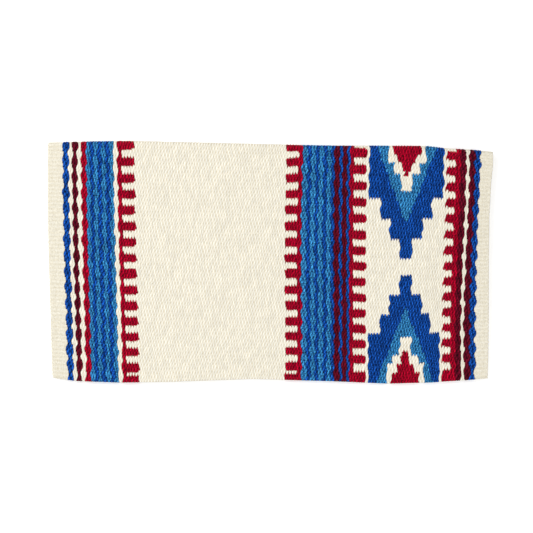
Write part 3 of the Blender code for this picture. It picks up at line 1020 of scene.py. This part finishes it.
class Header:
    """A header's plain weave: one low rib to a warp, crossed by fine picks over and under it."""

    def __init__(self, right):
        want = sizes()
        start, end = (hem * HEADER_WARP_ROWS for hem in CHAIN)
        rows = np.arange(start, end + 0.5) / HEADER_WARP_ROWS
        width = HEADER_RIGHT if right else HEADER_LEFT
        inside = np.linspace(HEADER_RIM, width + HEADER_TUCK, want.header_picks * 2 + 1)
        rim = HEADER_RIM * np.array(HEADER_RIM_AT)
        from_end = np.concatenate((rim, inside))
        x = FOLD_LENGTH - from_end[::-1] if right else from_end
        q = rows[:, None]
        chance = np.random.default_rng(want.seed + HEADER_SEED + right)
        wave = np.cos(2 * np.pi * q)
        crossings = chance.random((len(rows), len(x)))
        # The crown shapes the header's relief and also paints its shade into the low places and its
        # highlight onto the high ones.
        crown = RIB_SHARE * (0.5 + 0.5 * wave) + PICK_SHARE * chance.random(len(x))
        crown = crown + CROSSING_SHARE * crossings
        from_rim = np.minimum(x, FOLD_LENGTH - x)
        rim_share = np.interp(from_rim, (*rim, HEADER_RIM), HEADER_RIM_FULLNESS)
        height = HEADER_THICKNESS / 2 - want.header_relief * (1 - crown)
        height = height * rim_share * hem_fullness(q)
        ends = HEADER_SCALLOP * (1 - rim_share) * wave * (-1 if right else 1)
        self.sides = [place(x - ends, q, height), place(x - ends, q, -height)]
        self.cell_q = (rows[:-1] + rows[1:])[:, None] / 2
        self.crown = crown
        self.x, self.rows = x + 0 * q, q + 0 * x
        self.loom = np.stack((x / HEADER_PICK_WIDTH + 0 * q, q + 0 * x, 0 * x * q), axis=-1)
        self.tint = chance.random((len(rows) - 1, len(x) - 1))


def header_piece(name, side, stretch):
    """A header's cloth on the far flap, the fold or the near flap, on a grid worked out once."""
    if side not in GRIDS:
        GRIDS[side] = Header(side == "right")
    grid = GRIDS[side]
    mask = np.broadcast_to(along(grid, stretch), grid.tint.shape)
    return woven_piece(name, grid, mask, wool("header"))


class WeaveHeaders(bpy.types.Operator):
    """Weaves the thinner plain headers at both ends of the blanket"""

    bl_idname = "blanket.weave_headers"
    bl_label = "Weave the headers"

    def execute(self, context):
        for stretch, body in BODIES.items():
            for side in ("left", "right"):
                name = f"{stretch}_header_{side}"
                piece = header_piece(f"{name}_weave", side, stretch)
                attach(piece, body)
                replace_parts(piece, name)
        return {"FINISHED"}


# The stage

# The camera looks straight down. The width and middle of its view hold at the blanket's top.
CAMERA_HEIGHT = 3.0
VIEW_TOP = 0.0189
VIEW_WIDTH = 1.0463
VIEW_MIDDLE = (-0.00571, -0.00967)
VIEW_ROLL = 0.5
SENSOR = 36.0
# Each lamp's name, place, width and power
LAMPS = (
    ("Key lamp", (-2.4, 1.4, 2.6), 2.2, 76.0),
    ("Fill lamp", (0.9, -1.2, 2.3), 2.0, 17.5),
)
# The floor: its reach, its grey as light meets it, and how much it shines by itself in the picture
FLOOR_REACH = 30.0
FLOOR_GREY = 0.80
FLOOR_LIFT = 0.30
# How bright the world is as a light, beside the full white that the camera sees
WORLD_LIGHT = 0.55


class SetStage(bpy.types.Operator):
    """Sets the pale floor, the soft light and the camera over the blanket"""

    bl_idname = "blanket.set_stage"
    bl_label = "Set the stage"

    def execute(self, context):
        scene = context.scene
        scene.view_settings.view_transform = "Standard"
        camera = bpy.data.cameras.new("Camera")
        camera.sensor_width = SENSOR
        camera.lens = SENSOR * CAMERA_HEIGHT / VIEW_WIDTH
        camera.clip_end = 20.0
        eye = bpy.data.objects.new("Camera", camera)
        eye.location = (*VIEW_MIDDLE, VIEW_TOP + CAMERA_HEIGHT)
        eye.rotation_euler = (0.0, 0.0, np.radians(VIEW_ROLL))
        scene.collection.objects.link(eye)
        scene.camera = eye
        for lamp in LAMPS:
            self.add_lamp(scene, *lamp)
        self.add_floor(scene)
        self.set_world(scene)
        return {"FINISHED"}

    def add_lamp(self, scene, name, at, size, power):
        """A round lamp that faces the middle of the floor."""
        lamp = bpy.data.lights.new(name, "AREA")
        lamp.shape = "DISK"
        lamp.size = size
        lamp.energy = power
        holder = bpy.data.objects.new(name, lamp)
        holder.location = at
        flat = np.hypot(at[0], at[1])
        holder.rotation_euler = (np.arctan2(flat, at[2]), 0.0, np.arctan2(-at[0], at[1]) + np.pi)
        scene.collection.objects.link(holder)

    def add_floor(self, scene):
        """A wide level sheet that is paler, and shines a little by itself, to the camera."""
        mesh = bpy.data.meshes.new("Floor")
        corners = ((-1, -1), (1, -1), (1, 1), (-1, 1))
        points = [(x * FLOOR_REACH, y * FLOOR_REACH, 0) for x, y in corners]
        mesh.from_pydata(points, [], [(0, 1, 2, 3)])
        material = bpy.data.materials.new("Pale floor")
        material.use_nodes = True
        tree = material.node_tree
        seen = self.seen_directly(tree)
        greys = []
        for y, low, high in ((200, FLOOR_GREY, 1.0), (-100, 0.0, FLOOR_LIFT)):
            ends = {"Factor": seen, "A": (low, low, low, 1.0), "B": (high, high, high, 1.0)}
            mix = node(tree, "ShaderNodeMix", (-300, y), ends, data_type="RGBA")
            greys.append(mix.outputs["Result"])
        pale, lift = greys
        dull = {"Roughness": 1.0, "Specular IOR Level": 0.0}
        bright = {"Base Color": pale, "Emission Color": lift, "Emission Strength": 1.0}
        feed(tree, tree.nodes["Principled BSDF"], dull | bright)
        mesh.materials.append(material)
        floor = bpy.data.objects.new("Floor", mesh)
        scene.collection.objects.link(floor)

    def seen_directly(self, tree):
        """One for rays from the camera, off gloss or through glass, and nought for the rest."""
        rays = node(tree, "ShaderNodeLightPath", (-900, 300)).outputs
        first = maths(tree, (-700, 300), "MAXIMUM", rays["Is Camera Ray"], rays["Is Glossy Ray"])
        return maths(tree, (-500, 300), "MAXIMUM", first, rays["Is Transmission Ray"])

    def set_world(self, scene):
        """A white world, less bright as a light than to the camera."""
        world = bpy.data.worlds.new("World")
        scene.world = world
        world.use_nodes = True
        tree = world.node_tree
        span = {"Value": self.seen_directly(tree), "To Min": WORLD_LIGHT, "To Max": 1.0}
        strength = node(tree, "ShaderNodeMapRange", (-250, 200), span).outputs["Result"]
        shown = {"Color": (1.0, 1.0, 1.0, 1.0), "Strength": strength}
        feed(tree, tree.nodes["Background"], shown)


def declare_cloth():
    """Only lists each flap's pieces that replace solids, and the fold's with the near flap's."""
    for stretch in BODIES:
        going = pieces_of(stretch, "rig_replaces")
        going += pieces_of("fold", "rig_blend") if stretch == "near" else []


def pieces_of(stretch, mark):
    return [
        o
        for o in bpy.data.objects
        if o.name.startswith(f"{stretch}_") and mark in o and "_field_" not in o.name
    ]


class BlanketPanel(bpy.types.Panel):
    """Lists the blanket's sizes and colours and the steps that weave it"""

    bl_idname = "VIEW3D_PT_blanket"
    bl_label = "Woven saddle blanket"
    bl_space_type = "VIEW_3D"
    bl_region_type = "UI"
    bl_category = "Blanket"

    def draw(self, context):
        for group in (sizes(), colours()):
            box = self.layout.box()
            for name in group.bl_rna.properties.keys():
                if name not in ("rna_type", "name"):
                    box.prop(group, name)
        for step in STEPS:
            self.layout.operator(step.bl_idname)


# The steps in the order in which they run
STEPS = (
    SetStage, WeaveLines, WeaveBands, WeaveCombs, WeaveField, WeavePanel, WeaveHeaders, WeaveFold,
)
GROUPS = (("blanket_sizes", BlanketSizes), ("blanket_colours", BlanketColours))


def register():
    for name, group in GROUPS:
        bpy.utils.register_class(group)
        setattr(bpy.types.Scene, name, PointerProperty(type=group))
    for step in (*STEPS, BlanketPanel):
        bpy.utils.register_class(step)


def unregister():
    for step in (BlanketPanel, *reversed(STEPS)):
        bpy.utils.unregister_class(step)
    for name, group in reversed(GROUPS):
        delattr(bpy.types.Scene, name)
        bpy.utils.unregister_class(group)


def main():
    register()
    for step in STEPS:
        getattr(bpy.ops.blanket, step.bl_idname.removeprefix("blanket."))()
    declare_cloth()


if __name__ == "__main__":
    main()
